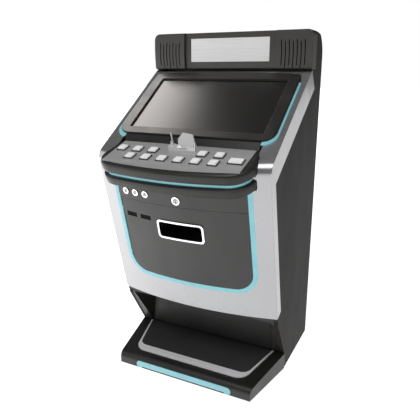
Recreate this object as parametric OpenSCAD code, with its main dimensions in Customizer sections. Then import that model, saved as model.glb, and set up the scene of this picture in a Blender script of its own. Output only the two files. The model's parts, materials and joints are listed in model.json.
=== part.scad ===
// Sit-down video poker machine: slant-top cabinet with a reclined screen, a button deck,
// a bowed lower front with a hinged cash door, and a low footrest.
//
// Frame: +Z up, the player stands at -Y, +X is the player's right.
// Side-view points are written [d, z], where d is the distance in front of the back plane.

/* [Cabinet] */
// Overall width across the side trims
body_w = 620; // [560:1:760]
// Overall height to the roof
body_h = 1210; // [1150:1:1460]
// Thickness of the side boards
side_t = 15; // [10:1:20]
// Thickness of the trim's side returns
trim_t = 2; // [1.5:0.5:3]
// Radius of the roof's rear corner
rear_corner_r = 90; // [60:1:90]
// Gap between the cabinet and the floor
floor_gap = 6; // [4:1:15]
// Thickness of the sheet steel
sheet_t = 2; // [1.5:0.5:3]

/* [Head] */
// Distance of the head's front in front of the back plane
head_front_d = 152; // [142:1:162]
// Radius of the head's curved front
head_bow_r = 480; // [300:10:900]
// Radius of the head's upper and lower front edges
head_edge_r = 14; // [8:1:20]
// Height of the head
head_h = 130; // [120:1:140]
// Corner radius of the head's upper corners in front view
head_corner_r = 22; // [12:1:30]
// How far the centre is set back behind the speaker covers
head_step = 9; // [8:1:18]
// Width of each speaker cover
pod_w = 130; // [115:1:145]
// Length and height of the sign plate
sign_size = [310, 82]; // [60:1:330]
// Number of louvres in a speaker cover
louvre_count = 7; // [5:1:8]
// Distance between louvres
louvre_pitch = 13.8; // [11:0.1:14]

/* [Screen] */
// Recline of the screen fascia from horizontal
slope_deg = 34.35; // [32:0.05:37]
// Distance of the fascia's top edge in front of the back plane
slope_top_d = 145; // [140:1:155]
// Visible width and height of the display
screen_size = [488, 270]; // [230:1:500]
// Distance from the fascia's top edge to the display
screen_s = 62; // [55:1:75]
// Width of the display casing round the visible area
lcd_border = 12; // [8:1:16]
// Thickness of the display
lcd_t = 38; // [25:1:45]
// Distance from the cabinet side to the screen bezel
bezel_margin = 25; // [20:1:32]
// Height of the screen bezel above the fascia
bezel_rise = 10; // [6:1:14]
// Corner radius of the screen bezel
bezel_r = 45; // [35:1:55]

/* [Lower front] */
// Lean of the lower front from vertical
lean_deg = 13.2; // [11:0.1:15]
// Plan radius of the bowed lower front
bow_r = 1200; // [1000:10:1500]
// Distance of the chin's centre in front of the back plane
chin_d = 449; // [440:1:470]
// Height of the chin's lower edge
chin_z = 262; // [240:1:280]
// Radius of the knee between the fascia and the lower front
knee_r = 40; // [30:1:45]
// Thickness of the silver fascia
fascia_t = 5; // [4:0.5:6]
// Distance from the cabinet side to the light round the door
light_margin = 56; // [50:1:64]
// Width of the light round the door
light_w = 16; // [10:1:18]
// Height of the door light's lower edge above the chin
light_h0 = 92; // [80:1:110]
// Outer corner radius of the door light
light_r = 80; // [60:1:90]
// Height of the seam above the cash door
seam_z = 655; // [640:1:665]
// Thickness of the cash door
door_t = 4; // [3:0.5:5]
// Gap round the cash door
door_gap = 0.8; // [0.6:0.1:1.5]
// Payout opening: width and height
payout_size = [166, 62]; // [50:1:190]
// Height of the payout opening's centre
payout_z = 567; // [550:1:580]
// Depth of the payout cup
cup_depth = 90; // [60:1:110]

/* [Button deck] */
// Slope of the button deck from horizontal
deck_deg = 18.2; // [15:0.1:20]
// Distance of the steel plate's rear edge in front of the back plane
deck_d = 468; // [462:1:475]
// Drop of the steel plate's rear edge below the fascia plane
deck_drop = 6.3; // [5:0.1:9]
// Distance from the cabinet side to the deck at its widest
deck_margin = 41; // [38:1:50]
// Length of the deck in front of the plate's rear edge
deck_len = 178; // [170:1:190]
// Thickness of the deck
deck_t = 82; // [74:1:90]
// Corner radius of the deck
deck_r = 80; // [60:1:90]
// Depth of the deck's light below the top
deck_light_n = 38; // [34:1:42]
// Height of the deck's light
deck_light_h = 10; // [6:1:12]
// Distance from the cabinet side to the steel plate
plate_margin = 70; // [66:1:90]
// Thickness of the steel plate
plate_t = 1.5; // [1:0.5:2]
// Width of a button cap
cap_w = 26; // [22:0.5:28]
// Width of the wide button's cap
wide_cap_w = 42; // [36:0.5:46]
// Height of a button's rim above the deck plate
rim_h = 4.5; // [3:0.5:6]
// Distance between button columns
button_pitch = 59; // [52:0.5:60]
// Distance from the plate's rear edge to the rear and front button rows
button_rows = [54, 102.5]; // [45:0.5:110]
// Travel of a button
button_travel = 3; // [2:0.5:4]

/* [Footrest] */
// Distance of the kick panel in front of the back plane
kick_d = 300; // [280:1:320]
// Height of the footrest at the kick panel
waist_z = 68; // [60:1:85]
// Distance of the footrest's front in front of the back plane
foot_d = 534; // [500:1:560]
// Inward taper of the footrest's sides
foot_taper = 46; // [30:1:60]
// Fall of the footrest's top from the kick panel to its front
foot_fall = 21; // [10:1:25]
// Width of the footrest's silver trim
foot_trim_w = 30; // [20:1:36]

/* [Rear door] */
// Distance from the cabinet side to the rear door
rear_margin = 50; // [45:1:70]
// Height of the rear door's lower and upper edges
rear_z = [120, 1000]; // [100:1:1050]

/* [Hidden] */
$fn = 96;

black = "#2f2e2e";
charcoal = "#3f3d3d";
silver = "#c9c9cb";
teal = "#98cdd4";
chrome = "#e8e8ea";
white = "#f2f2f0";
dark_glass = "#1b1918";

half_w = body_w / 2;
board_x = half_w - trim_t;
inner_x = board_x - side_t;
far = 2000;
eps = 0.01;

// ---- side-view construction -------------------------------------------------
slope_top_z = body_h - head_h - 8;

// Point at distance s down the fascia and n out of it
function slope_pt(s, n = 0) = [
  slope_top_d + s * cos(slope_deg) + n * sin(slope_deg),
  slope_top_z - s * sin(slope_deg) + n * cos(slope_deg)
];

// Point at distance h up the lower front's centreline and y behind it
function lean_pt(h, y = 0) = [
  chin_d + h * sin(lean_deg) - y * cos(lean_deg),
  chin_z + h * cos(lean_deg) + y * sin(lean_deg)
];

// How far the bowed front lies behind its centreline at a given x
function bow(x) = bow_r - sqrt(bow_r * bow_r - x * x);

// Height up the lower front at which it meets the fascia plane, both moved inwards
turn_deg = slope_deg - lean_deg;
function meet_h(n, y) =
  let (p = slope_pt(0, n) - lean_pt(0, y))
  (p[0] * sin(slope_deg) + p[1] * cos(slope_deg)) / cos(turn_deg);
function meet_s(n, y) =
  let (q = lean_pt(0, y) - slope_pt(0, n))
  (q[0] * cos(lean_deg) - q[1] * sin(lean_deg)) / cos(turn_deg);

edge_y = bow(half_w);
knee_h = meet_h(0, edge_y);
knee_s = meet_s(0, edge_y);
knee_tan = knee_r * tan((90 - turn_deg) / 2);

// ---- button deck construction -----------------------------------------------
deck_s = (deck_d - slope_top_d + deck_drop * sin(slope_deg)) / cos(slope_deg);
deck_o = slope_pt(deck_s, -deck_drop);
function deck_pt(v, n = 0) = [
  deck_o[0] + v * cos(deck_deg) + n * sin(deck_deg),
  deck_o[1] - v * sin(deck_deg) + n * cos(deck_deg)
];
deck_half = half_w - deck_margin;
rim_inset = 0.8;
deck_back_v = 29;
deck_back_half = deck_half - 19;
deck_corner_v = 85;
deck_side_deg = 10;
deck_f = deck_len - deck_corner_v;
deck_cx = deck_half - deck_r;
deck_bow_r = (deck_cx * deck_cx + deck_f * deck_f - deck_r * deck_r) / (2 * (deck_f - deck_r));
deck_bow_y = deck_bow_r - deck_len;
deck_end_deg = asin(deck_cx / (deck_bow_r - deck_r));
deck_shell_t = 4;
plate_half = half_w - plate_margin;
plate_front_v = 161;

// Height up the lower front at which the deck's underside covers it
under_h = let (q = deck_pt(0, -deck_t) - lean_pt(0))
  (q[0] * sin(deck_deg) + q[1] * cos(deck_deg)) / cos(deck_deg - lean_deg);

// ---- lower front construction -----------------------------------------------
light_half = half_w - light_margin;
light_in = light_half - light_w;
light_in_r = light_r - light_w;
light_in_h = light_h0 + light_w;
seam_h = (seam_z - chin_z) / cos(lean_deg);
panel_top_h = under_h - 1.5;
barrel_r = 2.5;
barrel_depth = 2.7;
pin_r = 1.25;
pin_fit = 0.05;
hinge_off = 4.2;
hinge_x = -light_in + hinge_off;
door_left = hinge_x + barrel_r + 0.35;
door_right = light_in - door_gap;
knuckle_len = 12;
door_hinges_h = [light_in_h + light_in_r + 20, seam_h - 60];
payout_h = (payout_z - chin_z) / cos(lean_deg);

// ---- shared shapes ----------------------------------------------------------
depth = deck_pt(deck_len - rim_inset, -8)[0];
module placed() { translate([0, depth / 2, 0]) children(); }

// Extrude a side view from x0 to x1
module across(x0, x1) {
  translate([x1, 0, 0]) rotate([90, 0, -90]) linear_extrude(x1 - x0) children();
}

module both_sides() {
  children();
  mirror([1, 0, 0]) children();
}

module on_slope(s = 0) {
  o = slope_pt(s);
  translate([0, -o[0], o[1]]) rotate([slope_deg, 0, 0]) children();
}

module on_deck() {
  translate([0, -deck_o[0], deck_o[1]]) rotate([deck_deg, 0, 0]) children();
}

module on_front() {
  translate([0, -chin_d, chin_z]) rotate([lean_deg, 0, 0]) children();
}

// Stand a piece on the bowed front at x and h, its own -Y pointing out
module at_front(x, h) {
  on_front() translate([0, bow_r, 0]) rotate([0, 0, asin(x / bow_r)]) translate([0, -bow_r, h]) children();
}

// Shell of the bowed front between two depths, as tall as asked
module front_shell(y0, y1, h0, h1) {
  on_front() translate([0, bow_r, h0]) difference() {
    cylinder(r = bow_r - y0, h = h1 - h0, $fn = 360);
    translate([0, 0, -1]) cylinder(r = bow_r - y1, h = h1 - h0 + 2, $fn = 360);
  }
}

// Push an outline, drawn in x and h, straight through the bowed front
module through_front(y0 = -30, y1 = 150) {
  on_front() translate([0, y1, 0]) rotate([90, 0, 0]) linear_extrude(y1 - y0) children();
}

module rounded_rect(size, r) {
  hull_x = size[0] / 2 - r;
  hull_y = size[1] / 2 - r;
  square([size[0] - 2 * r, size[1]], center = true);
  square([size[0], size[1] - 2 * r], center = true);
  for (x = [-hull_x, hull_x], y = [-hull_y, hull_y]) translate([x, y]) circle(r);
}

// U-shaped outline, open above, with round lower corners
module cup_outline(x0, x1, h0, h1, r) {
  translate([x0, h0 + r]) square([x1 - x0, h1 - h0 - r]);
  translate([x0 + r, h0]) square([x1 - x0 - 2 * r, r + eps]);
  for (x = [x0 + r, x1 - r]) translate([x, h0 + r]) circle(r);
}

// Everything behind the fascia and lower front, moved inwards by i
module front_region(i, h_low = -40) {
  a = lean_pt(h_low, edge_y + i);
  d = slope_pt(-10, -i);
  polygon([a, lean_pt(knee_h - knee_tan, edge_y + i), slope_pt(knee_s - knee_tan, -i),
    d, [0, d[1]], [0, a[1]]]);
  translate(slope_pt(knee_s - knee_tan, -knee_r)) circle(knee_r - i);
}

// Rear top corner of the cabinet, as a side view
module rear_corner_cut() {
  difference() {
    translate([-far, body_h - rear_corner_r]) square([far + rear_corner_r, far]);
    translate([rear_corner_r, body_h - rear_corner_r]) circle(rear_corner_r);
  }
}

head_z0 = body_h - head_h;
head_mid_z = body_h - head_h / 2;
head_back_d = 85;

// Side view of the head's front part from d0 forwards, with its front moved back by inset
module head_front(inset, d0, z0 = head_z0, z1 = body_h) {
  front = head_front_d - inset;
  intersection() {
    translate([front - head_bow_r, head_mid_z]) circle(head_bow_r, $fn = 720);
    translate([front / 2, (z0 + z1) / 2]) rounded_rect([front, z1 - z0], head_edge_r);
    translate([d0, z0]) square([far, z1 - z0]);
  }
}

// ---- cabinet ----------------------------------------------------------------
board_inset = 10;
lip_d = chin_d - edge_y - 11.3;
lip_z = chin_z - 29;

module board_profile() {
  difference() {
    union() {
      front_region(board_inset, 0);
      polygon([
        [0, floor_gap], [kick_d, floor_gap], [kick_d, waist_z], [lip_d, lip_z],
        lean_pt(0, edge_y + board_inset), [0, lean_pt(0, edge_y + board_inset)[1]]
      ]);
      translate([0, slope_top_z - 20]) square([head_back_d, body_h - slope_top_z + 20]);
      head_front(11, head_back_d - 1, slope_top_z - 20);
    }
    rear_corner_cut();
  }
}

// Front view of the whole cabinet with its upper corners rounded
module rounded_top() {
  translate([0, eps, body_h / 2]) rotate([90, 0, 0]) linear_extrude(far)
    rounded_rect([body_w, body_h], head_corner_r);
  translate([-half_w, -far, -1]) cube([body_w, far + eps, body_h - head_h]);
}

module side_board() {
  placed() intersection() {
    across(inner_x, board_x) board_profile();
    rounded_top();
  }
}

module side_panel_right() { color(charcoal) side_board(); }
module side_panel_left() { color(charcoal) mirror([1, 0, 0]) side_board(); }

module roof_panel() {
  color(charcoal) placed() across(-inner_x, inner_x) difference() {
    translate([0, body_h - rear_corner_r]) square([head_back_d - 4, rear_corner_r]);
    rear_corner_cut();
    translate([rear_corner_r, body_h - rear_corner_r]) circle(rear_corner_r - 3);
  }
}

rear_w = half_w - rear_margin;
rear_frame_t = 3;
inlet_pos = [150, 40];
inlet_size = [60, 34];

module back_frame() {
  color(charcoal) placed() difference() {
    translate([-inner_x, -rear_frame_t, floor_gap])
      cube([2 * inner_x, rear_frame_t, body_h - rear_corner_r - floor_gap]);
    translate([-rear_w - hinge_off, -far / 2, rear_z[0]])
      cube([2 * rear_w + hinge_off, far, rear_z[1] - rear_z[0]]);
    translate([inlet_pos[0], -20, inlet_pos[1]]) cube([inlet_size[0], 40, inlet_size[1]]);
  }
}

module floor_plate() {
  color("dimgray") placed() difference() {
    translate([-inner_x, -kick_d + kick_t, floor_gap]) cube([2 * inner_x, kick_d - kick_t - rear_frame_t, 4]);
    rear_feet() cylinder(r = stem_r, h = 50);
  }
}

// ---- footrest ---------------------------------------------------------------
foot_round = 22;
foot_deg = atan(foot_fall / (foot_d - kick_d));
foot_tip_z = waist_z - foot_fall;
foot_shell = 3;
foot_tan = foot_round * tan((90 - foot_deg) / 2);
function foot_pt(d, n = 0) = [
  d + n * sin(foot_deg),
  waist_z - (d - kick_d) * tan(foot_deg) + n * cos(foot_deg)
];

module foot_profile(i) {
  tip = foot_d - foot_tan;
  polygon([
    [kick_d + i, floor_gap - 1], [foot_d - i, floor_gap - 1], [foot_d - i, foot_tip_z - foot_tan],
    foot_pt(tip, -i), foot_pt(kick_d + i, -i)
  ]);
  translate([foot_d - foot_round, foot_tip_z - foot_tan]) circle(foot_round - i);
}

module foot_plan(i) {
  polygon([
    [half_w - i, -kick_d + eps], [half_w - foot_taper - i, -foot_d],
    [-half_w + foot_taper + i, -foot_d], [-half_w + i, -kick_d + eps]
  ]);
}

module foot_body(i) {
  intersection() {
    across(-half_w, half_w) foot_profile(i);
    linear_extrude(far) foot_plan(i);
  }
}

foot_light_x = 192;
foot_light_z = [11, 33];
foot_light_t = 3;

module foot_light_outline() {
  x = foot_light_x - (620 - body_w) / 2;
  translate([-x, foot_light_z[0]]) square([2 * x, 8]);
  translate([-x + 14, foot_light_z[0]]) square([2 * x - 28, foot_light_z[1] - foot_light_z[0]]);
  for (m = [-1, 1]) translate([m * (x - 14), foot_light_z[0] + 8]) circle(14);
}

module foot_light_body() {
  translate([0, -foot_d + foot_light_t, 0]) rotate([90, 0, 0]) linear_extrude(foot_light_t)
    foot_light_outline();
}

module footrest_box() {
  color(black) placed() difference() {
    intersection() {
      foot_body(0);
      translate([-far, -far, floor_gap]) cube(2 * far);
    }
    foot_body(foot_shell);
    foot_light_body();
  }
}

module footrest_light() { color(teal) placed() foot_light_body(); }

pad_back = 6;
pad_front = foot_d - kick_d - 41;
pad_half = half_w - 42;
pad_taper = 36;

// Trapezoid with round front corners, drawn in x and distance from the kick panel
module pad_outline(i, r, front) {
  hull() {
    for (m = [-1, 1]) {
      translate([m * (pad_half - i), -pad_back]) circle(eps, $fn = 8);
      translate([m * (pad_half - pad_taper - r - i * 0.5), -front + r]) circle(r, $fn = 32);
    }
  }
}

module on_foot() { translate([0, -kick_d, waist_z]) rotate([foot_deg, 0, 0]) children(); }

module footrest_trim() {
  color(silver) placed() on_foot() linear_extrude(4) difference() {
    pad_outline(0, 45, pad_front);
    pad_outline(5, 35, pad_front - foot_trim_w);
  }
}

module footrest_pad() {
  color("#403e3f") placed() on_foot() linear_extrude(3) pad_outline(5.3, 34.7, pad_front - foot_trim_w - 0.3);
}

stem_r = 5;
module rear_feet() {
  for (x = [-1, 1]) translate([x * (inner_x - 40), -40, 0]) children();
}

module levelling_feet() {
  color("#222222") placed() for (x = [-1, 1], y = [40, foot_d - 60]) {
    w = y > kick_d ? half_w - foot_taper - 30 : inner_x - 40;
    translate([x * w, -y, 0]) {
      cylinder(r = 19, h = floor_gap);
      cylinder(r = stem_r, h = y > kick_d ? foot_pt(y + stem_r, -foot_shell)[1] : floor_gap + 24);
    }
  }
}

fold_top = half_w - 69;
fold_low = half_w - 48;
kick_t = sheet_t;

module kick_cavity(grow) {
  hull() {
    for (m = [-1, 1]) {
      translate([m * (fold_low + grow), -kick_d, waist_z - grow]) sphere(eps, $fn = 8);
      translate([m * (half_w - 14 + grow), -lip_d - 30, waist_z - grow]) sphere(eps, $fn = 8);
      translate([m * (fold_top + grow), -kick_d, chin_z - 14 - kick_t + grow]) sphere(eps, $fn = 8);
      translate([m * (half_w - 14 + grow), -lip_d - 30, lip_z + grow * 0.5]) sphere(eps, $fn = 8);
    }
  }
}

// Folded kick panel with its two cheeks and the bar under the chin
module kick_panel() {
  color(black) placed() difference() {
    across(-half_w, half_w) polygon([
      [kick_d - kick_t, floor_gap], [kick_d, floor_gap], [kick_d, waist_z],
      [lip_d, lip_z], [lip_d + 3, chin_z + 1], [kick_d - kick_t, chin_z + 1]
    ]);
    translate([0, -kick_t, kick_t]) kick_cavity(-0.5);
    kick_cavity(0);
    across(-half_w + kick_t, half_w - kick_t) polygon([
      [kick_d - far, chin_z - 10], [lip_d - 8, chin_z - 10], [lip_d - 8, far], [kick_d - far, far]
    ]);
    both_sides() across(inner_x - 0.3, half_w + 1) polygon([
      [0, 0], [kick_d, 0], [kick_d + 0.3, waist_z], [lip_d + 0.3, lip_z],
      [lip_d + 3.4, chin_z + 12], [lip_d + 3.4, far], [0, far]
    ]);
  }
}

// ---- silver fascia ----------------------------------------------------------
bezel_s = [26, screen_s + screen_size[1] + 35];
window_half = half_w - bezel_margin - 15;
window_s = [36, bezel_s[1] - 20];
flange_slope_w = 74;
flange_low_w = 33;
cone_len = 12;

// Space kept clear for the deck: both shells, the light between them and the riser
module deck_envelope(gap) {
  for (rows = [top_rows, bottom_rows], i = [1:len(rows) - 1])
    on_deck() translate([0, 0, rows[i][0] - gap]) linear_extrude(rows[i - 1][0] - rows[i][0] + 2 * gap)
      deck_outline(max(rows[i - 1][1], rows[i][1]) + gap);
  on_deck() translate([0, 0, deck_low - 1]) linear_extrude(deck_light_h + 2) deck_outline(gap - light_inset);
  on_slope() translate([-riser_half - gap, -knee_s - 10, -60])
    cube([2 * (riser_half + gap), knee_s + 10 - window_s[1] + 1, 120]);
}

// Fascia knee and lower front in the plane of its radius, moved inwards by i
module turned_profile(i) {
  c = cone_len + knee_tan;
  tan_x = bow_r - knee_tan * cos(turn_deg) - i * sin(turn_deg);
  tan_y = knee_h + knee_tan * sin(turn_deg) - i * cos(turn_deg);
  polygon([
    [bow_r - i, -40], [bow_r - i, knee_h - knee_tan], [tan_x, tan_y],
    [tan_x - cone_len * cos(turn_deg), tan_y + cone_len * sin(turn_deg)],
    [bow_r - c - 60, tan_y], [bow_r - c - 60, -40]
  ]);
  translate([bow_r - knee_r, knee_h - knee_tan]) circle(knee_r - i);
}

module turned_front() {
  sweep = 2 * asin(half_w / bow_r) + 4;
  on_front() translate([0, bow_r, 0]) rotate([0, 0, -90 - sweep / 2]) rotate_extrude(angle = sweep, $fn = 240)
    difference() {
      turned_profile(0);
      turned_profile(fascia_t);
      translate([bow_r - far - knee_tan - cone_len, -far]) square([far, 2 * far]);
    }
}

module flange_profile() {
  corner = lean_pt(meet_h(-flange_slope_w + 4, edge_y + flange_low_w), edge_y + flange_low_w);
  intersection() {
    front_region(0);
    polygon([
      slope_pt(-9, 50), slope_pt(-9, -flange_slope_w - 2), corner, lean_pt(0, edge_y + flange_low_w),
      lean_pt(-6, edge_y), lean_pt(-6, -100), lean_pt(knee_h, -100)
    ]);
  }
}

module front_fascia() {
  color(silver) placed() difference() {
    union() {
      across(-board_x, board_x) polygon([
        slope_pt(0), slope_pt(knee_s - knee_tan + 1), slope_pt(knee_s - knee_tan + 1, -fascia_t),
        slope_pt(0, -fascia_t)
      ]);
      across(-inner_x, inner_x) polygon([
        slope_pt(0), slope_pt(fascia_t, -fascia_t), [head_back_d, slope_top_z - 4], [head_back_d, slope_top_z]
      ]);
      intersection() {
        turned_front();
        translate([-board_x, -far, chin_z]) cube([2 * board_x, far, far]);
      }
      both_sides() across(board_x, half_w) flange_profile();
    }
    on_slope() translate([-window_half, -window_s[1], -60])
      cube([2 * window_half, window_s[1] - window_s[0], 120]);
    through_front() cup_outline(-light_half, light_half, light_h0, far / 2, light_r);
    deck_envelope(0.4);
  }
}

// ---- screen -----------------------------------------------------------------
bezel_half = half_w - bezel_margin;
bezel_bulge = 11;
bezel_bulge_r = (bezel_half * bezel_half + bezel_bulge * bezel_bulge) / (2 * bezel_bulge);
glass_border = 5;

// Bezel outline in x and distance down the fascia, grown by g
module bezel_outline(g) {
  intersection() {
    translate([0, -bezel_s[0] + bezel_bulge - bezel_bulge_r]) circle(bezel_bulge_r + g, $fn = 720);
    translate([0, -(bezel_s[0] + bezel_s[1]) / 2 + 10])
      rounded_rect([2 * (bezel_half + g), bezel_s[1] - bezel_s[0] + 20 + 2 * g], bezel_r + g);
  }
}

module screen_rect(g) {
  translate([-screen_size[0] / 2 - g, -screen_s - screen_size[1] - g])
    square([screen_size[0] + 2 * g, screen_size[1] + 2 * g]);
}

bezel_steps = [[0, bezel_rise - 2.4, 0], [bezel_rise - 2.5, 1.3, -0.8], [bezel_rise - 1.3, 1.3, -2.2]];
screen_steps = [[4, 3, 0], [6.9, 1.6, 2], [8.4, 10, 4]];

module screen_bezel() {
  color(black) placed() on_slope() difference() {
    for (step = bezel_steps) translate([0, 0, step[0]]) linear_extrude(step[1]) bezel_outline(step[2]);
    translate([0, 0, -1]) linear_extrude(5) screen_rect(glass_border);
    for (step = screen_steps) translate([0, 0, step[0] - 0.1]) linear_extrude(step[1]) screen_rect(step[2]);
  }
}

module screen_glass() {
  color(dark_glass) placed() on_slope() linear_extrude(4) screen_rect(glass_border - 0.3);
}

module lcd_panel() {
  color("#26262a") placed()
    on_slope() translate([0, 0, -lcd_t - 0.5]) linear_extrude(lcd_t) screen_rect(lcd_border);
}

// Light round the sides and lower corners of the bezel
module screen_light() {
  color(teal) placed() on_slope() linear_extrude(4) difference() {
    intersection() {
      union() {
        bezel_outline(4);
        translate([0, -10]) bezel_outline(6);
      }
      translate([-half_w, -bezel_s[1] - 12]) square([body_w, bezel_s[1] - bezel_s[0] - 30]);
    }
    bezel_outline(0);
    translate([-deck_back_half + 2, -far]) square([2 * deck_back_half - 4, far - bezel_s[1] + 30]);
  }
}

// ---- head -------------------------------------------------------------------
head_in = half_w - pod_w;
head_wall = 4;

module head_box(inset, x0, x1, wall) {
  difference() {
    across(x0, x1) head_front(inset, head_back_d);
    across(x0 + wall, x1 - wall) head_front(inset + wall, head_back_d - 1, head_z0 + wall, body_h - wall);
  }
}

sign_z = head_z0 + 27;
sign_deg = 0.4;

module sign_place(t0, t1, grow = 0) {
  translate([0, head_step - head_front_d, sign_z + sign_size[1] / 2]) rotate([90 - sign_deg, 0, 0])
    translate([0, 0, t0]) linear_extrude(t1 - t0)
      square([sign_size[0] + 2 * grow, sign_size[1] + 2 * grow], center = true);
}

module head_housing() {
  color(charcoal) placed() difference() {
    union() {
      head_box(head_step, -head_in + 0.2, head_in - 0.2, head_wall);
      across(-inner_x, inner_x) translate([head_back_d - 4, slope_top_z - 4])
        square([4, body_h - slope_top_z + 4 - 1]);
      intersection() {
        sign_place(-16, -2, 8);
        across(-far, far) head_front(head_step, head_back_d);
      }
    }
    sign_place(-2, 40, 0.3);
  }
}

module sign_plate() { color("#d6d6d6") placed() sign_place(-2, -0.5); }

// Louvre that bends slightly about the cover's middle
module louvre(x, low) {
  bend_r = 380;
  translate([x - bend_r, -head_back_d - 1, head_mid_z - 12]) rotate([90, 0, 0])
    linear_extrude(far) intersection() {
    difference() {
      circle(bend_r + 1.6);
      circle(bend_r - 1.6);
    }
    translate([0, low ? -48 : -40]) square([far, low ? 86 : 84]);
  }
}

module speaker_cover() {
  mid = (head_in + half_w) / 2 - 1;
  placed() difference() {
    intersection() {
      head_box(0, head_in + 0.2, half_w, head_wall);
      rounded_top();
    }
    for (i = [0:louvre_count - 1])
      louvre(mid + (i - (louvre_count - 1) / 2) * louvre_pitch, i % 2 == 1);
    across(inner_x - 0.3, board_x) head_front(10.5, head_back_d - 2, 0, far);
    translate([inner_x - 0.3, -head_back_d - 10, head_z0 - 1]) cube([far, 12, head_h + 2]);
  }
}

module speaker_cover_right() { color(charcoal) speaker_cover(); }
module speaker_cover_left() { color(charcoal) mirror([1, 0, 0]) speaker_cover(); }

module speaker_drivers() {
  x = (head_in + inner_x) / 2;
  color("#1e1e1e") placed() for (m = [-1, 1])
    translate([m * x, -head_back_d, head_mid_z - 12]) rotate([90, 0, 0]) {
    cylinder(r = 24, h = 18);
    translate([0, 0, 18]) cylinder(r1 = 24, r2 = 38, h = 14, $fn = 48);
    translate([0, 0, 32]) cylinder(r = 38, h = 4);
  }
}

// ---- button deck ------------------------------------------------------------
// Deck outline in x and distance from the plate's rear edge, grown by g, reaching back by b
function deck_corner(g) = [
  for (i = [0:10])
    let (a = deck_side_deg - i * (deck_side_deg + 90 - deck_end_deg) / 10)
    [deck_cx + (deck_r + g) * cos(a), -deck_corner_v + (deck_r + g) * sin(a)]
];
function deck_half_outline(g, b) = concat(
  [[deck_back_half + g - (b > 0 ? b * 0.15 : 0), deck_back_v + b]],
  deck_corner(g),
  [for (i = [1:8])
    let (a = deck_end_deg * (1 - i / 8))
    [(deck_bow_r + g) * sin(a), deck_bow_y - (deck_bow_r + g) * cos(a)]]
);
module deck_outline(g, b = 0) {
  right = deck_half_outline(g, b);
  n = len(right);
  polygon(concat(right, [for (i = [n - 2:-1:0]) [-right[i][0], right[i][1]]]));
}

module deck_layers(rows) {
  hull() for (row = rows) on_deck() translate([0, 0, row[0]]) linear_extrude(eps) deck_outline(row[1]);
}

deck_low = -deck_light_n - deck_light_h;
light_inset = 14;
riser_half = deck_back_half - 4;
// Height above the deck plane and inset of each layer of the two shells
top_rows = [[-0.01, -9], [-3, -3.5], [-8, -rim_inset], [-14, 0],
  [-26, -0.5], [-33, -4], [-deck_light_n, -11]];
bottom_rows = [[deck_low - eps, -8], [deck_low - 4, -2], [deck_low - 12, -1],
  [-deck_t + 6, -3], [-deck_t, -10]];

// Button places on the deck: x, distance from the plate's rear edge, cap width
rear_columns = [-3.6, -2.6, -1.6, 1.4, 2.4];
front_columns = [-2.6, -1.6, -0.6, 0.4, 1.4, 2.4];
wide_place = [3.5, (button_rows[0] + button_rows[1]) / 2 + 3.5];
function rear_button(i) = [rear_columns[i] * button_pitch, button_rows[0], cap_w];
function front_button(i) = [front_columns[i] * button_pitch, button_rows[1], cap_w];
wide_button = [wide_place[0] * button_pitch, wide_place[1], wide_cap_w];
all_buttons = concat(
  [for (i = [0:4]) rear_button(i)], [for (i = [0:5]) front_button(i)], [wide_button]
);
cap_gap = 0.5;
rim_wall = 2.5;
rim_depth = 22;

module at_button(b) { on_deck() translate([b[0], -b[1], 0]) children(); }
module button_well(b, g) {
  at_button(b) translate([0, 0, -rim_depth - g]) linear_extrude(rim_depth + 10)
    square([b[2] + 4 + 2 * g, cap_w + 4 + 2 * g], center = true);
}

module deck_top_shell() {
  color(black) placed() difference() {
    union() {
      deck_layers(top_rows);
      riser();
    }
    deck_layers([[-deck_shell_t, -12], [-10, -6], [-14, -4.5], [-28, -5.5], [-deck_light_n - 1, -18]]);
    for (b = all_buttons) button_well(b, 0.3);
    coin_neck(0.3);
    deck_back_cut();
  }
}

// Riser between the plate's rear edge and the lower edge of the bezel
module riser() {
  low = deck_pt(-1, -0.5);
  top = slope_pt(bezel_s[1] + 0.4, 3);
  across(-riser_half, riser_half)
    polygon([low, top, slope_pt(bezel_s[1] + 0.4, -6),
      deck_pt(-12, -deck_shell_t), deck_pt(-1, -deck_shell_t)]);
}

// Space above the fascia plane kept clear for the bezel
module deck_back_cut() {
  low = bezel_s[1] + 0.3;
  across(-far, far) polygon([slope_pt(0, -1), slope_pt(low, -1), slope_pt(low, 60), slope_pt(0, 60)]);
}

module deck_light() {
  color(teal) placed() difference() {
    on_deck() translate([0, 0, deck_low]) linear_extrude(deck_light_h) difference() {
      deck_outline(-light_inset);
      deck_outline(-light_inset - 6);
    }
    on_deck() translate([-far, 0, -far]) cube(2 * far);
  }
}

module deck_bottom_shell() {
  color(black) placed() difference() {
    deck_layers(bottom_rows);
    deck_layers([[deck_low + 1, -16], [deck_low - 12, -6], [-deck_t + 4, -14]]);
    on_front() translate([-far / 2, 3 * edge_y, 0]) cube([far, far, far]);
    across(-far, far) polygon([
      lean_pt(0, edge_y + 20), lean_pt(knee_h + 100, edge_y + 20), [0, far], [0, 0]
    ]);
  }
}

plate_bow_r = deck_bow_y + plate_front_v;
module plate_outline() {
  intersection() {
    translate([-plate_half, -plate_front_v]) square([2 * plate_half, plate_front_v - 1]);
    translate([0, deck_bow_y]) circle(plate_bow_r, $fn = 360);
  }
}

module deck_plate() {
  color("#aaaaab") placed() difference() {
    on_deck() linear_extrude(plate_t) plate_outline();
    for (b = all_buttons) button_well(b, 0.3);
    coin_neck(0.3);
  }
}

module button_rims() {
  color("#222222") placed() for (b = all_buttons) difference() {
    union() {
      at_button(b) translate([0, 0, plate_t]) linear_extrude(rim_h - plate_t)
        square([b[2] + 2 * rim_wall + 1, cap_w + 2 * rim_wall + 1], center = true);
      button_well(b, 0);
    }
    at_button(b) translate([0, 0, -rim_depth + 2]) linear_extrude(far)
      square([b[2] + 2 * cap_gap, cap_w + 2 * cap_gap], center = true);
    at_button(b) translate([-far / 2, -far / 2, rim_h]) cube(far);
  }
}

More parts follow.
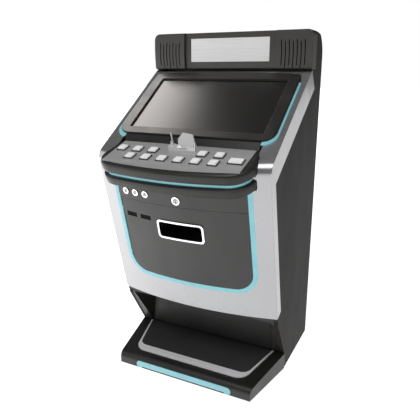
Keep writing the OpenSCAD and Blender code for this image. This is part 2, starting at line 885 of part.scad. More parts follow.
cap_rise = 4.5;
cap_r = 1.5;
module button(b) {
  color(white) placed() at_button(b) {
    translate([0, 0, -rim_depth + button_travel + 3])
      linear_extrude(rim_depth - button_travel - 3 + rim_h + cap_rise - 1)
      rounded_rect([b[2], cap_w], cap_r);
    translate([0, 0, rim_h + cap_rise - 1 - eps]) linear_extrude(1)
      rounded_rect([b[2] - 1.6, cap_w - 1.6], cap_r);
  }
}

module button_rear_1() { button(rear_button(0)); }
module button_rear_2() { button(rear_button(1)); }
module button_rear_3() { button(rear_button(2)); }
module button_rear_4() { button(rear_button(3)); }
module button_rear_5() { button(rear_button(4)); }
module button_front_1() { button(front_button(0)); }
module button_front_2() { button(front_button(1)); }
module button_front_3() { button(front_button(2)); }
module button_front_4() { button(front_button(3)); }
module button_front_5() { button(front_button(4)); }
module button_front_6() { button(front_button(5)); }
module button_wide() { button(wide_button); }

// ---- coin entry -------------------------------------------------------------
coin_x = 4;
coin_v = 28;
coin_tilt = 28;
lever_r = 2.5;
lever_pos = [4, 19];

module at_coin() { on_deck() translate([coin_x, -coin_v, plate_t]) children(); }

// Neck of the coin entry through the deck, grown by g
module coin_neck(g) {
  at_coin() translate([-20 - g, -14 - g, -14 - g]) cube([40 + 2 * g, 20 + 2 * g, 15 + g]);
}

module coin_head() {
  color(chrome) placed() difference() {
    union() {
      // reclined six-sided entry plate
      at_coin() translate([4, 8, 0]) rotate([90 - coin_tilt, 0, 0]) linear_extrude(5)
        polygon([[-26, 0], [26, 0], [30, 22], [22, 44], [-14, 48], [-30, 26]]);
      // left wing and right fin
      at_coin() hull() {
        translate([-48, -14, 0]) cube([4, 24, 14]);
        translate([-16, -14, 0]) cube([4, 24, 6]);
      }
      at_coin() translate([42, -12, 0]) hull() {
        cube([3, 20, 4]);
        translate([0, 12, 24]) rotate([0, 90, 0]) cylinder(r = 3, h = 3, $fn = 32);
      }
      at_coin() translate([-48, -14, 0]) cube([93, 24, 4]);
      coin_neck(0);
      // lever ears
      at_coin() translate([-45, lever_pos[0] - 4, 8]) cube([4, 8, 16]);
    }
    at_coin() translate([-12, -9, -30]) cube([26, 7, 60]);
    lever_bore();
  }
}

module lever_bore() {
  at_coin() translate([-50, lever_pos[0], lever_pos[1]]) rotate([0, 90, 0])
    cylinder(r = lever_r / 2 + pin_fit, h = 12);
}

module coin_reject_lever() {
  color(chrome) placed() at_coin() translate([-40.5, lever_pos[0], lever_pos[1]]) rotate([0, 90, 0]) {
    translate([0, 0, -6.5]) cylinder(r = lever_r / 2, h = 8);
    cylinder(r = 4, h = 2.5);
    translate([-34, -2.5, 0]) cube([34, 5, 2.5]);
  }
}

// ---- lower front ------------------------------------------------------------
module light_outline() {
  difference() {
    cup_outline(-light_half, light_half, light_h0, panel_top_h, light_r);
    cup_outline(-light_in, light_in, light_in_h, panel_top_h + 1, light_in_r);
  }
}

module door_light() {
  color(teal) placed() intersection() {
    front_shell(0, 5, -20, panel_top_h + 40);
    through_front() light_outline();
  }
}

switch_x = [-201, -160, -119];
switch_h = (684 - chin_z) / cos(lean_deg);
lock_h = (678 - chin_z) / cos(lean_deg);
switch_r = 8.5;
lock_r = 11;
collar_w = 3.5;

module lock_panel() {
  color(charcoal) placed() difference() {
    intersection() {
      front_shell(0, door_t, seam_h, panel_top_h);
      through_front() translate([-light_in + 0.3, seam_h]) square([2 * light_in - 0.6, panel_top_h - seam_h]);
    }
    for (x = switch_x) lock_hole(x, switch_h, switch_r);
    lock_hole(0, lock_h, lock_r);
  }
}

module lock_hole(x, h, r) {
  at_front(x, h) rotate([90, 0, 0]) translate([0, 0, -40]) cylinder(r = r + 1, h = 80);
}

module collar(x, h, r) {
  at_front(x, h) rotate([90, 0, 0]) difference() {
    union() {
      cylinder(r = r + collar_w, h = 3);
      translate([0, 0, -25]) cylinder(r = r + 1, h = 26);
    }
    translate([0, 0, -30]) cylinder(r = r - 1 + pin_fit, h = 60);
  }
}

module switch_collars() {
  color(chrome) placed() {
    for (x = switch_x) collar(x, switch_h, switch_r);
    collar(0, lock_h, lock_r);
  }
}

// Lock barrel with a key slot; the front one also carries a cam behind the door
module lock_barrel(r, cam) {
  rotate([90, 0, 0]) difference() {
    union() {
      translate([0, 0, -29]) cylinder(r = r - 1, h = 33);
      translate([0, 0, -29]) cylinder(r = r + 1, h = 3);
      if (cam > 0) {
        translate([-6, -cam, -29]) cube([12, cam, 2.5]);
      }
    }
    translate([-0.9, -r * 0.5, 0]) cube([1.8, r, 5]);
  }
}

module key_switch_1() { color(chrome) placed() at_front(switch_x[0], switch_h) lock_barrel(switch_r, 0); }
module key_switch_2() { color(chrome) placed() at_front(switch_x[1], switch_h) lock_barrel(switch_r, 0); }
module key_switch_3() { color(chrome) placed() at_front(switch_x[2], switch_h) lock_barrel(switch_r, 0); }
module door_lock() { color(chrome) placed() at_front(0, lock_h) lock_barrel(lock_r, 34); }

counter_x = [-195, -135];
counter_size = [44, 17];
counter_h = (597 - chin_z) / cos(lean_deg);

module cash_door() {
  color(charcoal) placed() {
    difference() {
      intersection() {
        front_shell(0, door_t, -20, seam_h - door_gap);
        through_front()
          cup_outline(door_left, door_right, light_in_h + door_gap, seam_h - door_gap, light_in_r - door_gap);
      }
      through_front() translate([0, payout_h]) rounded_rect(payout_size, 12);
      hinge_axis(0) cylinder(r = barrel_r + 0.35, h = seam_h);
      for (x = counter_x) at_front(x, counter_h) cube([counter_size[0], 40, counter_size[1]], center = true);
    }
    for (h = door_hinges_h) door_knuckle(h);
    at_front(0, seam_h - 8) translate([-20, door_t - 0.5, 0]) cube([40, 22.4, 3]);
  }
}

module hinge_axis(h) { at_front(hinge_x, h) translate([0, barrel_depth, 0]) children(); }

module door_knuckle(h) {
  hinge_axis(h) difference() {
    union() {
      cylinder(r = barrel_r, h = knuckle_len);
      translate([0, -0.8, 0]) cube([barrel_r + 1.4, 1.8, knuckle_len]);
    }
    translate([0, 0, -1]) cylinder(r = pin_r + pin_fit, h = knuckle_len + 2);
  }
}

module door_hinge() {
  color("#2a2a2a") placed() for (h = door_hinges_h) hinge_axis(h) {
    translate([0, 0, -knuckle_len - 0.3]) {
      cylinder(r = pin_r, h = 3 * knuckle_len + 0.6);
      cylinder(r = barrel_r, h = knuckle_len);
      translate([0, 0, 2 * knuckle_len + 0.6]) cylinder(r = barrel_r, h = knuckle_len);
      translate([-2.4, 0.5, 0]) cube([2.4, 4.3, knuckle_len]);
      translate([-2.4, 0.5, 2 * knuckle_len + 0.6]) cube([2.4, 4.3, knuckle_len]);
      translate([-24, 2.8, 0]) cube([24, 2, 3 * knuckle_len + 0.6]);
    }
  }
}

frame_w = 7;
module payout_frame() {
  color(chrome) placed() intersection() {
    front_shell(-4, door_t + 1, payout_h - 100, payout_h + 100);
    through_front() translate([0, payout_h]) difference() {
      rounded_rect(payout_size + [2 * frame_w - 6, 2 * frame_w - 6], 14);
      rounded_rect(payout_size - [6, 6], 9);
    }
    union() {
      through_front() translate([0, payout_h]) rounded_rect(payout_size - [0.6, 0.6], 11.7);
      front_shell(-4, 0, payout_h - 100, payout_h + 100);
    }
  }
}

cup_wall = 2.5;
module payout_cup() {
  w = payout_size + [14, 10];
  color("#161616") placed() on_front() translate([0, 0, payout_h]) difference() {
    translate([-w[0] / 2, door_t + 6.5, -w[1] / 2 - 12]) cube([w[0], cup_depth, w[1] + 12]);
    translate([-w[0] / 2 + cup_wall, 0, -w[1] / 2 - 12 + cup_wall])
      cube([w[0] - 2 * cup_wall, cup_depth + door_t + 4, w[1] + 12 - 2 * cup_wall]);
    translate([-40, door_t + 6.5 + cup_depth - 50, 0]) cube([80, 40, far]);
  }
}

module counter_windows() {
  color("#0d0d0d") placed() for (x = counter_x) at_front(x, counter_h) {
    translate([-counter_size[0] / 2 + 0.3, 1.2, -counter_size[1] / 2 + 0.3])
      cube([counter_size[0] - 0.6, 22, counter_size[1] - 0.6]);
  }
}

// ---- rear door --------------------------------------------------------------
rear_axis_x = -rear_w;
rear_left = rear_axis_x + barrel_r + 0.35;
rear_right = rear_w - 1;
rear_lock_pos = [rear_w - 26, (rear_z[0] + rear_z[1]) / 2];
rear_hinges_z = [rear_z[0] + 60, rear_z[1] - 60 - knuckle_len];
vent_rows = 9;
vent_pitch = 16;

module rear_door() {
  color(charcoal) placed() {
    difference() {
      translate([rear_left, -rear_frame_t, rear_z[0] + 1])
        cube([rear_right - rear_left, rear_frame_t, rear_z[1] - rear_z[0] - 2]);
      for (i = [0:vent_rows - 1], x = [-140, 0, 140])
        translate([x - 50, -10, rear_z[1] - 120 - i * vent_pitch]) cube([100, 20, 5]);
      translate([rear_lock_pos[0], 5, rear_lock_pos[1]]) rotate([90, 0, 0]) cylinder(r = 10.05, h = 20);
    }
    for (z = rear_hinges_z) translate([rear_axis_x, -barrel_depth, z]) difference() {
      union() {
        cylinder(r = barrel_r, h = knuckle_len);
        translate([0, -0.3, 0]) cube([barrel_r + 1.4, 1.8, knuckle_len]);
      }
      translate([0, 0, -1]) cylinder(r = pin_r + pin_fit, h = knuckle_len + 2);
    }
  }
}

module rear_hinge() {
  color("#2a2a2a") placed() for (z = rear_hinges_z)
    translate([rear_axis_x, -barrel_depth, z - knuckle_len - 0.3]) {
    cylinder(r = pin_r, h = 3 * knuckle_len + 0.6);
    cylinder(r = barrel_r, h = knuckle_len);
    translate([0, 0, 2 * knuckle_len + 0.6]) cylinder(r = barrel_r, h = knuckle_len);
    translate([-3.2, -2.3, 0]) cube([3.2, 1.8, knuckle_len]);
    translate([-3.2, -2.3, 2 * knuckle_len + 0.6]) cube([3.2, 1.8, knuckle_len]);
    translate([-22, -2.3, 0]) cube([19, 2, 3 * knuckle_len + 0.6]);
  }
}

module rear_lock() {
  color(chrome) placed() translate([rear_lock_pos[0], 0, rear_lock_pos[1]]) rotate([90, 0, 0]) difference() {
    union() {
      translate([0, 0, 0.4]) cylinder(r = 10, h = 22);
      translate([-8, -34, 16]) cube([16, 40, 2.5]);
    }
    translate([-0.9, -6, -1]) cube([1.8, 12, 5]);
  }
}

// ---- inside -----------------------------------------------------------------
shelf_z = 330;

module equipment_shelf() {
  color("dimgray") placed() translate([-inner_x, -kick_d - 10, shelf_z]) cube([2 * inner_x, kick_d - 30, 3]);
}

module coin_hopper() {
  color("#55585c") placed() {
    difference() {
      translate([-85, -250, shelf_z + 3]) cube([170, 150, 150]);
      translate([-79, -244, shelf_z + 60]) cube([158, 138, 150]);
    }
    translate([-30, -280, shelf_z + 3]) cube([60, 30, 60]);
  }
}

module power_supply() {
  color("#a8a9a6") placed() difference() {
    translate([110, -200, floor_gap + 4]) cube([150, 140, 86]);
    for (i = [0:7]) translate([125 + i * 15, -201, floor_gap + 20]) cube([6, 3, 55]);
  }
}

module logic_box() {
  color("#8f9296") placed() translate([-inner_x, -260, 640]) cube([60, 200, 240]);
}

module mains_inlet() {
  color("#191919") placed() difference() {
    translate([inlet_pos[0], -30, inlet_pos[1]]) cube([inlet_size[0], 30, inlet_size[1]]);
    translate([inlet_pos[0] + 5, -16, inlet_pos[1] + 5]) cube([30, 20, 24]);
    translate([inlet_pos[0] + 40, -4, inlet_pos[1] + 10]) cube([14, 8, 14]);
  }
}

side_panel_left();
side_panel_right();
roof_panel();
back_frame();
floor_plate();
footrest_box();
footrest_pad();
footrest_trim();
footrest_light();
levelling_feet();
kick_panel();
front_fascia();
screen_bezel();
screen_glass();
lcd_panel();
screen_light();
head_housing();
speaker_cover_left();
speaker_cover_right();
speaker_drivers();
sign_plate();
deck_top_shell();
deck_bottom_shell();
deck_light();
deck_plate();
button_rims();
button_rear_1();
button_rear_2();
button_rear_3();
button_rear_4();
button_rear_5();
button_front_1();
button_front_2();
button_front_3();
button_front_4();
button_front_5();
button_front_6();
button_wide();
coin_head();
coin_reject_lever();
lock_panel();
cash_door();
door_light();
door_hinge();
payout_frame();
payout_cup();
counter_windows();
switch_collars();
key_switch_1();
key_switch_2();
key_switch_3();
door_lock();
rear_door();
rear_hinge();
rear_lock();
coin_hopper();
power_supply();
logic_box();
equipment_shelf();
mains_inlet();
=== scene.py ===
"""Looks of the video poker machine: materials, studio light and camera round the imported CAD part."""
import json
import math

import bmesh
import bpy
from mathutils import Matrix, Vector


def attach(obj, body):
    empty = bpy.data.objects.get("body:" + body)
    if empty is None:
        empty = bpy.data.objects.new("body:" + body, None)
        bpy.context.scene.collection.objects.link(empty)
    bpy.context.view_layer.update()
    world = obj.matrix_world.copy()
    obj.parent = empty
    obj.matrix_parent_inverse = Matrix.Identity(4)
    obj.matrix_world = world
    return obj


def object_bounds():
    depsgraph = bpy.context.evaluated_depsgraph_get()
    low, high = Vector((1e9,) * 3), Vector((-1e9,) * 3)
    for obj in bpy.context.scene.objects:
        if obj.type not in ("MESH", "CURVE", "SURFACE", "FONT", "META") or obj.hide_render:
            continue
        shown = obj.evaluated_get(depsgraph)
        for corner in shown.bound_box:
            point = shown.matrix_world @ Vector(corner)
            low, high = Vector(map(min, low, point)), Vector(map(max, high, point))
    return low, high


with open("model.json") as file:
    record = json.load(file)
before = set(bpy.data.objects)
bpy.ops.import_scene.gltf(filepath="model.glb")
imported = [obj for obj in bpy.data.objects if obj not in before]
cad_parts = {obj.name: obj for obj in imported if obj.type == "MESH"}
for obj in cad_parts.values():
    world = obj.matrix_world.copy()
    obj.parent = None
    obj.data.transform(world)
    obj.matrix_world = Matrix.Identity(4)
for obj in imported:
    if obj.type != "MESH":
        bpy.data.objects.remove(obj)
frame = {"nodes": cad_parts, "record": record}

CAD_BOX = [list(corner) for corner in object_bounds()]
NODES = frame["nodes"]


BRUSH_DEPTH = 0.00002
BRUSH_EDGE = 0.0006
FINE_GRAIN = 0.00003
GLASS_IOR = 1.52


# ---- materials --------------------------------------------------------------
class Shader:
    """A material's node tree with short calls for the nodes used here."""

    def __init__(self, name):
        self.material = bpy.data.materials.new(name)
        self.material.use_nodes = True
        self.tree = self.material.node_tree
        self.surface = self.tree.nodes["Principled BSDF"]
        self.place = self.add("ShaderNodeTexCoord").outputs["Object"]

    def add(self, kind, **values):
        node = self.tree.nodes.new(kind)
        for key, value in values.items():
            setattr(node, key, value)
        return node

    def link(self, source, target):
        self.tree.links.new(source, target)

    def noise(self, scale, detail=3.0, stretch=(1, 1, 1), rough=0.5):
        spread = self.add("ShaderNodeMapping")
        spread.inputs["Scale"].default_value = stretch
        self.link(self.place, spread.inputs["Vector"])
        noise = self.add("ShaderNodeTexNoise")
        noise.inputs["Scale"].default_value = scale
        noise.inputs["Detail"].default_value = detail
        noise.inputs["Roughness"].default_value = rough
        self.link(spread.outputs["Vector"], noise.inputs["Vector"])
        return noise.outputs["Fac"]

    def ramp(self, factor, stops):
        ramp = self.add("ShaderNodeValToRGB")
        elements = ramp.color_ramp.elements
        while len(elements) < len(stops):
            elements.new(0.5)
        for element, (position, value) in zip(elements, stops):
            color = value if hasattr(value, "__len__") else (value, value, value)
            element.position = position
            element.color = tuple(color) + (1,)
        self.link(factor, ramp.inputs["Fac"])
        return ramp.outputs["Color"]

    def mix(self, factor, first, second):
        mix = self.add("ShaderNodeMix", data_type="RGBA")
        self.link(factor, mix.inputs["Factor"])
        for socket, value in ((mix.inputs["A"], first), (mix.inputs["B"], second)):
            if hasattr(value, "is_linked"):
                self.link(value, socket)
            else:
                socket.default_value = tuple(value) + (1,)
        return mix.outputs["Result"]

    def bump(self, height, strength, distance, edge=0.0):
        bump = self.add("ShaderNodeBump")
        bump.inputs["Strength"].default_value = strength
        bump.inputs["Distance"].default_value = distance
        self.link(height, bump.inputs["Height"])
        if edge:
            bevel = self.add("ShaderNodeBevel", samples=4)
            bevel.inputs["Radius"].default_value = edge
            self.link(bevel.outputs["Normal"], bump.inputs["Normal"])
        self.link(bump.outputs["Normal"], self.surface.inputs["Normal"])

    def edges(self):
        """Bright along worn outer edges, broken up by noise."""
        pointed = self.add("ShaderNodeNewGeometry").outputs["Pointiness"]
        sharp = self.ramp(pointed, [(0.53, 0.0), (0.6, 1.0)])
        patchy = self.ramp(self.noise(38, 4), [(0.5, 0.0), (0.68, 1.0)])
        both = self.add("ShaderNodeMath", operation="MULTIPLY")
        self.link(sharp, both.inputs[0])
        self.link(patchy, both.inputs[1])
        return both.outputs["Value"]


def tint(color, factor):
    """The colour made lighter or darker, no channel above 1."""
    return tuple(min(1.0, channel * factor) for channel in color)


def coat(name, color, roughness, grain=900, grain_depth=FINE_GRAIN, variation=0.12, wear=None,
         metallic=0.0, clear=0.0, edge=0.0008, specular=0.5, smear=0.2):
    """Painted, powder-coated or moulded surface: fine texture, soft mottling and uneven gloss.

    `wear` is the colour along worn edges, if there are any, `smear` how much the gloss varies,
    and `edge` the radius that the shading gives to sharp edges.
    """
    s = Shader(name)
    s.surface.inputs["Metallic"].default_value = metallic
    s.surface.inputs["Coat Weight"].default_value = clear
    s.surface.inputs["Coat Roughness"].default_value = 0.12
    s.surface.inputs["Specular IOR Level"].default_value = specular
    broad = s.noise(3.5, 5)
    base = s.ramp(broad, [(0.3, tint(color, 1 - variation)), (0.7, tint(color, 1 + variation))])
    if wear:
        base = s.mix(s.edges(), base, wear)
    s.link(base, s.surface.inputs["Base Color"])
    wiped = s.noise(14, 6, (1, 1, 0.35))
    gloss = s.ramp(wiped, [(0.3, roughness * (1 - smear)), (0.72, min(1.0, roughness * (1 + smear)))])
    s.link(gloss, s.surface.inputs["Roughness"])
    s.bump(s.noise(grain, 2), 0.35, grain_depth, edge)
    return s.material


def brushed(name, color, roughness, along, metallic=1.0):
    """Metal with fine brushing: `along` is how much the scratches are stretched on each axis."""
    s = Shader(name)
    s.surface.inputs["Metallic"].default_value = metallic
    lines = s.noise(420, 4, along, 0.7)
    base = s.ramp(lines, [(0.25, tint(color, 0.86)), (0.75, tint(color, 1.1))])
    s.link(base, s.surface.inputs["Base Color"])
    gloss = s.ramp(s.noise(160, 5, along), [(0.3, roughness * 0.75), (0.7, roughness * 1.3)])
    s.link(gloss, s.surface.inputs["Roughness"])
    s.bump(lines, 0.4, BRUSH_DEPTH, BRUSH_EDGE)
    return s.material


def light_diffuser(name, color, glow):
    """Frosted light strip, a little brighter where the lamps sit behind it."""
    s = Shader(name)
    lamps = s.ramp(s.noise(26, 1), [(0.2, tint(color, 0.94)), (0.8, tint(color, 1.06))])
    s.link(lamps, s.surface.inputs["Base Color"])
    s.link(lamps, s.surface.inputs["Emission Color"])
    s.surface.inputs["Emission Strength"].default_value = glow
    s.link(s.ramp(s.noise(60, 3), [(0.3, 0.32), (0.7, 0.5)]), s.surface.inputs["Roughness"])
    s.surface.inputs["Subsurface Weight"].default_value = 0.15
    s.bump(s.noise(700, 2), 0.2, FINE_GRAIN, 0.0006)
    return s.material


def glossy_panel(name, color, roughness):
    """Dark glass with faint wipe marks in its gloss."""
    s = Shader(name)
    s.surface.inputs["IOR"].default_value = GLASS_IOR
    s.surface.inputs["Specular IOR Level"].default_value = 0.32
    s.surface.inputs["Coat Weight"].default_value = 0.3
    s.surface.inputs["Coat Roughness"].default_value = 0.24
    base = s.ramp(s.noise(2, 3), [(0.3, tint(color, 0.9)), (0.7, tint(color, 1.1))])
    s.link(base, s.surface.inputs["Base Color"])
    wiped = s.noise(2.5, 1, (1, 0.4, 0.4))
    s.link(s.ramp(wiped, [(0.35, roughness), (0.7, roughness * 1.2)]), s.surface.inputs["Roughness"])
    return s.material


def polished(name, color, roughness):
    """Chrome with handling haze and fine scratches."""
    s = Shader(name)
    s.surface.inputs["Metallic"].default_value = 1.0
    base = s.ramp(s.noise(30, 5), [(0.3, tint(color, 0.93)), (0.7, color)])
    s.link(base, s.surface.inputs["Base Color"])
    handled = s.noise(45, 7, (1, 0.3, 1))
    s.link(s.ramp(handled, [(0.35, roughness), (0.75, roughness * 2.6)]), s.surface.inputs["Roughness"])
    s.bump(s.noise(300, 3), 0.08, FINE_GRAIN, 0.0012)
    return s.material


# How far brushing lines are drawn out on each axis
ALONG_X = (0.02, 1, 1)
ALONG_Z = (1, 1, 0.05)
BARE_METAL = (0.42, 0.41, 0.4)
# Strength of the painted light on the white button caps, which glow though no lamp sits in them
PAINTED_CAP_GLOW = 0.14

# One look for each material slot of the record
LOOKS = {
    "cabinet_board": coat("cabinet_board", (0.024, 0.022, 0.021), 0.58, variation=0.06, specular=0.08,
                          smear=0.05),
    "cabinet_steel": coat("cabinet_steel", (0.02, 0.018, 0.018), 0.5, specular=0.25),
    "bare_steel": brushed("bare_steel", (0.5, 0.5, 0.5), 0.34, ALONG_Z),
    "black_steel": coat("black_steel", (0.016, 0.015, 0.014), 0.42),
    "footrest_rubber": coat("footrest_rubber", (0.034, 0.031, 0.032), 0.7, grain=420,
                            grain_depth=0.00025),
    # Painted highlight: this steel trim gets a near-white colour and no metal, so its colour stands in
    # for the bright highlights along it
    "satin_steel": brushed("satin_steel", (0.86, 0.86, 0.87), 0.3, ALONG_X, metallic=0.0),
    "light_diffuser": light_diffuser("light_diffuser", (0.2, 0.46, 0.51), 0.27),
    "foot_rubber": coat("foot_rubber", (0.018, 0.018, 0.018), 0.8),
    "silver_paint": coat("silver_paint", (0.4, 0.4, 0.41), 0.26, grain=1600, variation=0.03,
                         metallic=0.85, clear=0.15, edge=0),
    "bezel_black": coat("bezel_black", (0.014, 0.013, 0.012), 0.36, edge=0.001, specular=0.35),
    "display_glass": glossy_panel("display_glass", (0.004, 0.0034, 0.003), 0.24),
    "lcd_case": coat("lcd_case", (0.05, 0.05, 0.055), 0.5),
    "head_plastic": coat("head_plastic", (0.034, 0.032, 0.03), 0.45, edge=0.003),
    "speaker_cone": coat("speaker_cone", (0.015, 0.015, 0.015), 0.7),
    "brushed_plate": brushed("brushed_plate", (0.68, 0.68, 0.68), 0.42, ALONG_X, metallic=0.2),
    "deck_black": coat("deck_black", (0.018, 0.017, 0.016), 0.36, edge=0.001, specular=0.35),
    "deck_steel": brushed("deck_steel", (0.52, 0.52, 0.52), 0.45, ALONG_X, metallic=0.5),
    "rim_black": coat("rim_black", (0.012, 0.012, 0.012), 0.3, edge=0.0008),
    "button_white": coat("button_white", (0.9, 0.9, 0.89), 0.25, variation=0.02, clear=0.4,
                         edge=0.0012),
    "chrome": polished("chrome", (0.92, 0.92, 0.93), 0.1),
    "door_black": coat("door_black", (0.03, 0.028, 0.027), 0.42),
    "hinge_steel": coat("hinge_steel", (0.03, 0.03, 0.03), 0.4, wear=BARE_METAL, metallic=0.6),
    "cup_black": coat("cup_black", (0.008, 0.008, 0.008), 0.6, grain=300, grain_depth=0.0001),
    "counter_black": coat("counter_black", (0.002, 0.002, 0.002), 0.5, specular=0.05),
    "lock_steel": coat("lock_steel", (0.62, 0.62, 0.62), 0.24, variation=0.05, metallic=0.9,
                       edge=0),
    "hopper_plastic": coat("hopper_plastic", (0.09, 0.1, 0.11), 0.55),
    "inlet_black": coat("inlet_black", (0.015, 0.015, 0.015), 0.5),
}

# Painted light: the white button caps glow faintly, standing in for stray light taken into the caps
# from the deck
glowing_cap = LOOKS["button_white"].node_tree.nodes["Principled BSDF"]
glowing_cap.inputs["Emission Color"].default_value = (1, 1, 0.98, 1)
glowing_cap.inputs["Emission Strength"].default_value = PAINTED_CAP_GLOW

for part in frame["record"]["subparts"]:
    mesh = NODES[part["node"]].data
    mesh.materials.clear()
    mesh.materials.append(LOOKS[part["material_slot"]])

# The coin entry's metal is less mirror-like than the slot's chrome
CAST = coat("cast_metal", (0.86, 0.86, 0.87), 0.2, grain=1500, grain_depth=0.00001, variation=0.03,
            metallic=0.5, edge=0)
for name in ("coin_head", "coin_reject_lever"):
    NODES[name].data.materials[0] = CAST


# ---- lock faces: painted shade of the key slots -----------------------------
# Heights are in metres, widths and lengths are shares of the radius of the barrel's face
RING_SIDES = 40
RING_INNER, RING_OUTER, RING_HEIGHT = 0.6, 0.8, 0.0003
KEYWAY_LENGTH, KEYWAY_WIDTH, KEYWAY_HEIGHT = 0.95, 0.4, 0.0002
KEYWAY_TURN = math.radians(90)
CHAMFER = 0.3
FACE_TOLERANCE = 0.0002


def ring(bm, inner, outer, height):
    """Raised ring with chamfered top, closed all round, standing on z = 0."""
    chamfer = height * CHAMFER
    shoulder = height * (1 - CHAMFER)
    profile = ((inner, 0), (outer, 0), (outer, shoulder), (outer - chamfer, height),
               (inner + chamfer, height), (inner, shoulder))
    angles = [2 * math.pi * i / RING_SIDES for i in range(RING_SIDES)]
    rows = []
    for radius, z in profile:
        rows.append([bm.verts.new((radius * math.cos(a), radius * math.sin(a), z)) for a in angles])
    for row, above in zip(rows, rows[1:] + rows[:1]):
        for i in range(RING_SIDES):
            j = (i + 1) % RING_SIDES
            bm.faces.new((row[i], row[j], above[j], above[i]))


def bar(bm, length, width, height, turn):
    """Raised mark with chamfered top, turned about z, that stands for the shaded hollow of a key slot.
    """
    half_length, half_width = length / 2, width / 2
    corners = [(-half_length, -half_width), (half_length, -half_width),
               (half_length, half_width), (-half_length, half_width)]
    turned = Matrix.Rotation(turn, 4, "Z")
    levels = []
    for inset, z in ((0, 0), (0, height * (1 - CHAMFER)), (height * CHAMFER, height)):
        inner = [(x - math.copysign(inset, x), y - math.copysign(inset, y)) for x, y in corners]
        levels.append([bm.verts.new(turned @ Vector((x, y, z))) for x, y in inner])
    bm.faces.new(levels[0][::-1])
    bm.faces.new(levels[-1])
    for low, high in zip(levels, levels[1:]):
        for i in range(4):
            j = (i + 1) % 4
            bm.faces.new((low[i], low[j], high[j], high[i]))


def paint_lock_shade(joint_name, node_name):
    """Painted shade on the front of a lock barrel: a dark ring for the shaded gap round the plug and a
    dark raised bar for the shaded key slot, sized from the barrel's own face.
    """
    joints = frame["record"]["behaviour"]["joints"]
    joint = next(j for j in joints if j["name"] == joint_name)
    axis = Vector(joint["axis"]).normalized()
    if axis.y > 0:
        axis = -axis
    start = Vector(joint["pos_m"])
    offsets = [v.co - start for v in NODES[node_name].data.vertices]
    front = max(offset.dot(axis) for offset in offsets)
    face = [o - axis * o.dot(axis) for o in offsets if front - o.dot(axis) < FACE_TOLERANCE]
    radius = max(o.length for o in face)
    bm = bmesh.new()
    ring(bm, radius * RING_INNER, radius * RING_OUTER, RING_HEIGHT)
    bar(bm, radius * KEYWAY_LENGTH, radius * KEYWAY_WIDTH, KEYWAY_HEIGHT, KEYWAY_TURN)
    bmesh.ops.recalc_face_normals(bm, faces=bm.faces)
    turn = axis.to_track_quat("Z", "Y").to_matrix().to_4x4()
    bm.transform(Matrix.Translation(start + axis * front) @ turn)
    mesh = bpy.data.meshes.new(node_name + "_face")
    bm.to_mesh(mesh)
    bm.free()
    obj = bpy.data.objects.new(node_name + "_face", mesh)
    bpy.context.collection.objects.link(obj)
    # Black stands in for the shade in the gap round the plug and in the key slot
    mesh.materials.append(LOOKS["rim_black"])
    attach(obj, joint["child"])


for number in (1, 2, 3):
    paint_lock_shade(f"key_switch_{number}_turn", f"key_switch_{number}")
paint_lock_shade("door_lock_turn", "door_lock")


# ---- studio -----------------------------------------------------------------
FLOOR_HALF = 30
# The floor's glow rises from GLOW_RIGHT to GLOW_LEFT between these two places along x
GLOW_RIGHT, GLOW_RIGHT_X = 0.88, 0.4
GLOW_LEFT, GLOW_LEFT_X = 1.5, -1.3
ROOM_STRENGTH = 0.16
WHITE = (1, 1, 1, 1)

# Camera: metres to the right of the middle, in front of the cabinet's back, and above the floor
CAMERA_RIGHT, CAMERA_AHEAD, CAMERA_UP = 0.737, 1.806, 1.0756
CAMERA_YAW = math.radians(26.06)
CAMERA_PITCH = math.radians(16.37)
CAMERA_LENS, CAMERA_SENSOR = 40.68, 36


def look_at(obj, target):
    """Turn a light so that it points at the target."""
    obj.rotation_euler = (Vector(target) - obj.location).to_track_quat("-Z", "Y").to_euler()


def softbox(name, place, target, size, power, color=(1, 1, 1)):
    """Rectangular area light of `size` metres and `power` watts."""
    light = bpy.data.lights.new(name, "AREA")
    light.shape = "RECTANGLE"
    light.size, light.size_y = size
    light.energy = power
    light.color = color
    obj = bpy.data.objects.new(name, light)
    bpy.context.collection.objects.link(obj)
    obj.location = place
    look_at(obj, target)
    return obj


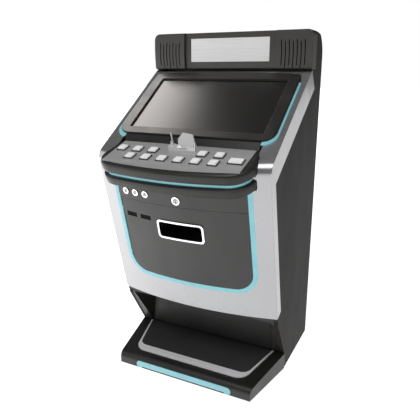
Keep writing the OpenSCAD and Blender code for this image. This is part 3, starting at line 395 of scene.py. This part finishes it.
def pale_floor():
    """Glowing pale floor, brighter on the left, that lights the silver fascia from below."""
    mesh = bpy.data.meshes.new("floor")
    bm = bmesh.new()
    bmesh.ops.create_grid(bm, x_segments=1, y_segments=1, size=FLOOR_HALF)
    bm.to_mesh(mesh)
    bm.free()
    obj = bpy.data.objects.new("floor", mesh)
    bpy.context.collection.objects.link(obj)
    paint = coat("floor_paint", (0.93, 0.93, 0.93), 0.9, variation=0.01, specular=0.1)
    tree = paint.node_tree
    surface = tree.nodes["Principled BSDF"]
    surface.inputs["Emission Color"].default_value = WHITE
    spot = tree.nodes.new("ShaderNodeSeparateXYZ")
    tree.links.new(tree.nodes["Texture Coordinate"].outputs["Object"], spot.inputs[0])
    across = tree.nodes.new("ShaderNodeMapRange")
    across.interpolation_type = "SMOOTHSTEP"
    for socket, value in (("From Min", GLOW_RIGHT_X), ("From Max", GLOW_LEFT_X),
                          ("To Min", GLOW_RIGHT), ("To Max", GLOW_LEFT)):
        across.inputs[socket].default_value = value
    tree.links.new(spot.outputs["X"], across.inputs["Value"])
    tree.links.new(across.outputs["Result"], surface.inputs["Emission Strength"])
    mesh.materials.append(paint)


def studio():
    """White backdrop for the camera, a dimmer white room for the light, and three softboxes."""
    world = bpy.data.worlds.new("studio")
    bpy.context.scene.world = world
    world.use_nodes = True
    tree = world.node_tree
    room = tree.nodes["Background"]
    room.inputs["Color"].default_value = WHITE
    room.inputs["Strength"].default_value = ROOM_STRENGTH
    backdrop = tree.nodes.new("ShaderNodeBackground")
    backdrop.inputs["Color"].default_value = WHITE
    seen = tree.nodes.new("ShaderNodeLightPath")
    mix = tree.nodes.new("ShaderNodeMixShader")
    tree.links.new(seen.outputs["Is Camera Ray"], mix.inputs[0])
    tree.links.new(room.outputs[0], mix.inputs[1])
    tree.links.new(backdrop.outputs[0], mix.inputs[2])
    tree.links.new(mix.outputs[0], tree.nodes["World Output"].inputs["Surface"])
    softbox("left_wall", (-2.6, -1.4, 1.3), (0, 0, 0.6), (2.4, 2.6), 24)
    softbox("overhead", (0.3, -1.3, 3.3), (0, -0.1, 0.6), (2.2, 1.8), 42)
    glare = softbox("display_glare", (-1.6, 0.5, 2.4), (-0.2, 0, 0.95), (1.0, 1.1), 26,
                    (1, 0.95, 0.92))
    # This one falls on the display and its bezel alone
    lit = bpy.data.collections.new("lit_by_display_glare")
    for name in ("screen_glass", "screen_bezel"):
        lit.objects.link(NODES[name])
    glare.light_linking.receiver_collection = lit


def photo_camera():
    """Camera a little below the cabinet's top, off to the right, looking slightly down."""
    depth = CAD_BOX[1][1] - CAD_BOX[0][1]
    camera = bpy.data.cameras.new("camera")
    camera.sensor_width = CAMERA_SENSOR
    camera.lens = CAMERA_LENS
    obj = bpy.data.objects.new("camera", camera)
    bpy.context.collection.objects.link(obj)
    obj.location = (CAMERA_RIGHT, depth / 2 - CAMERA_AHEAD, CAMERA_UP)
    obj.rotation_euler = (math.pi / 2 - CAMERA_PITCH, 0, CAMERA_YAW)
    bpy.context.scene.camera = obj


bpy.context.scene.view_settings.view_transform = "Standard"
pale_floor()
studio()
photo_camera()
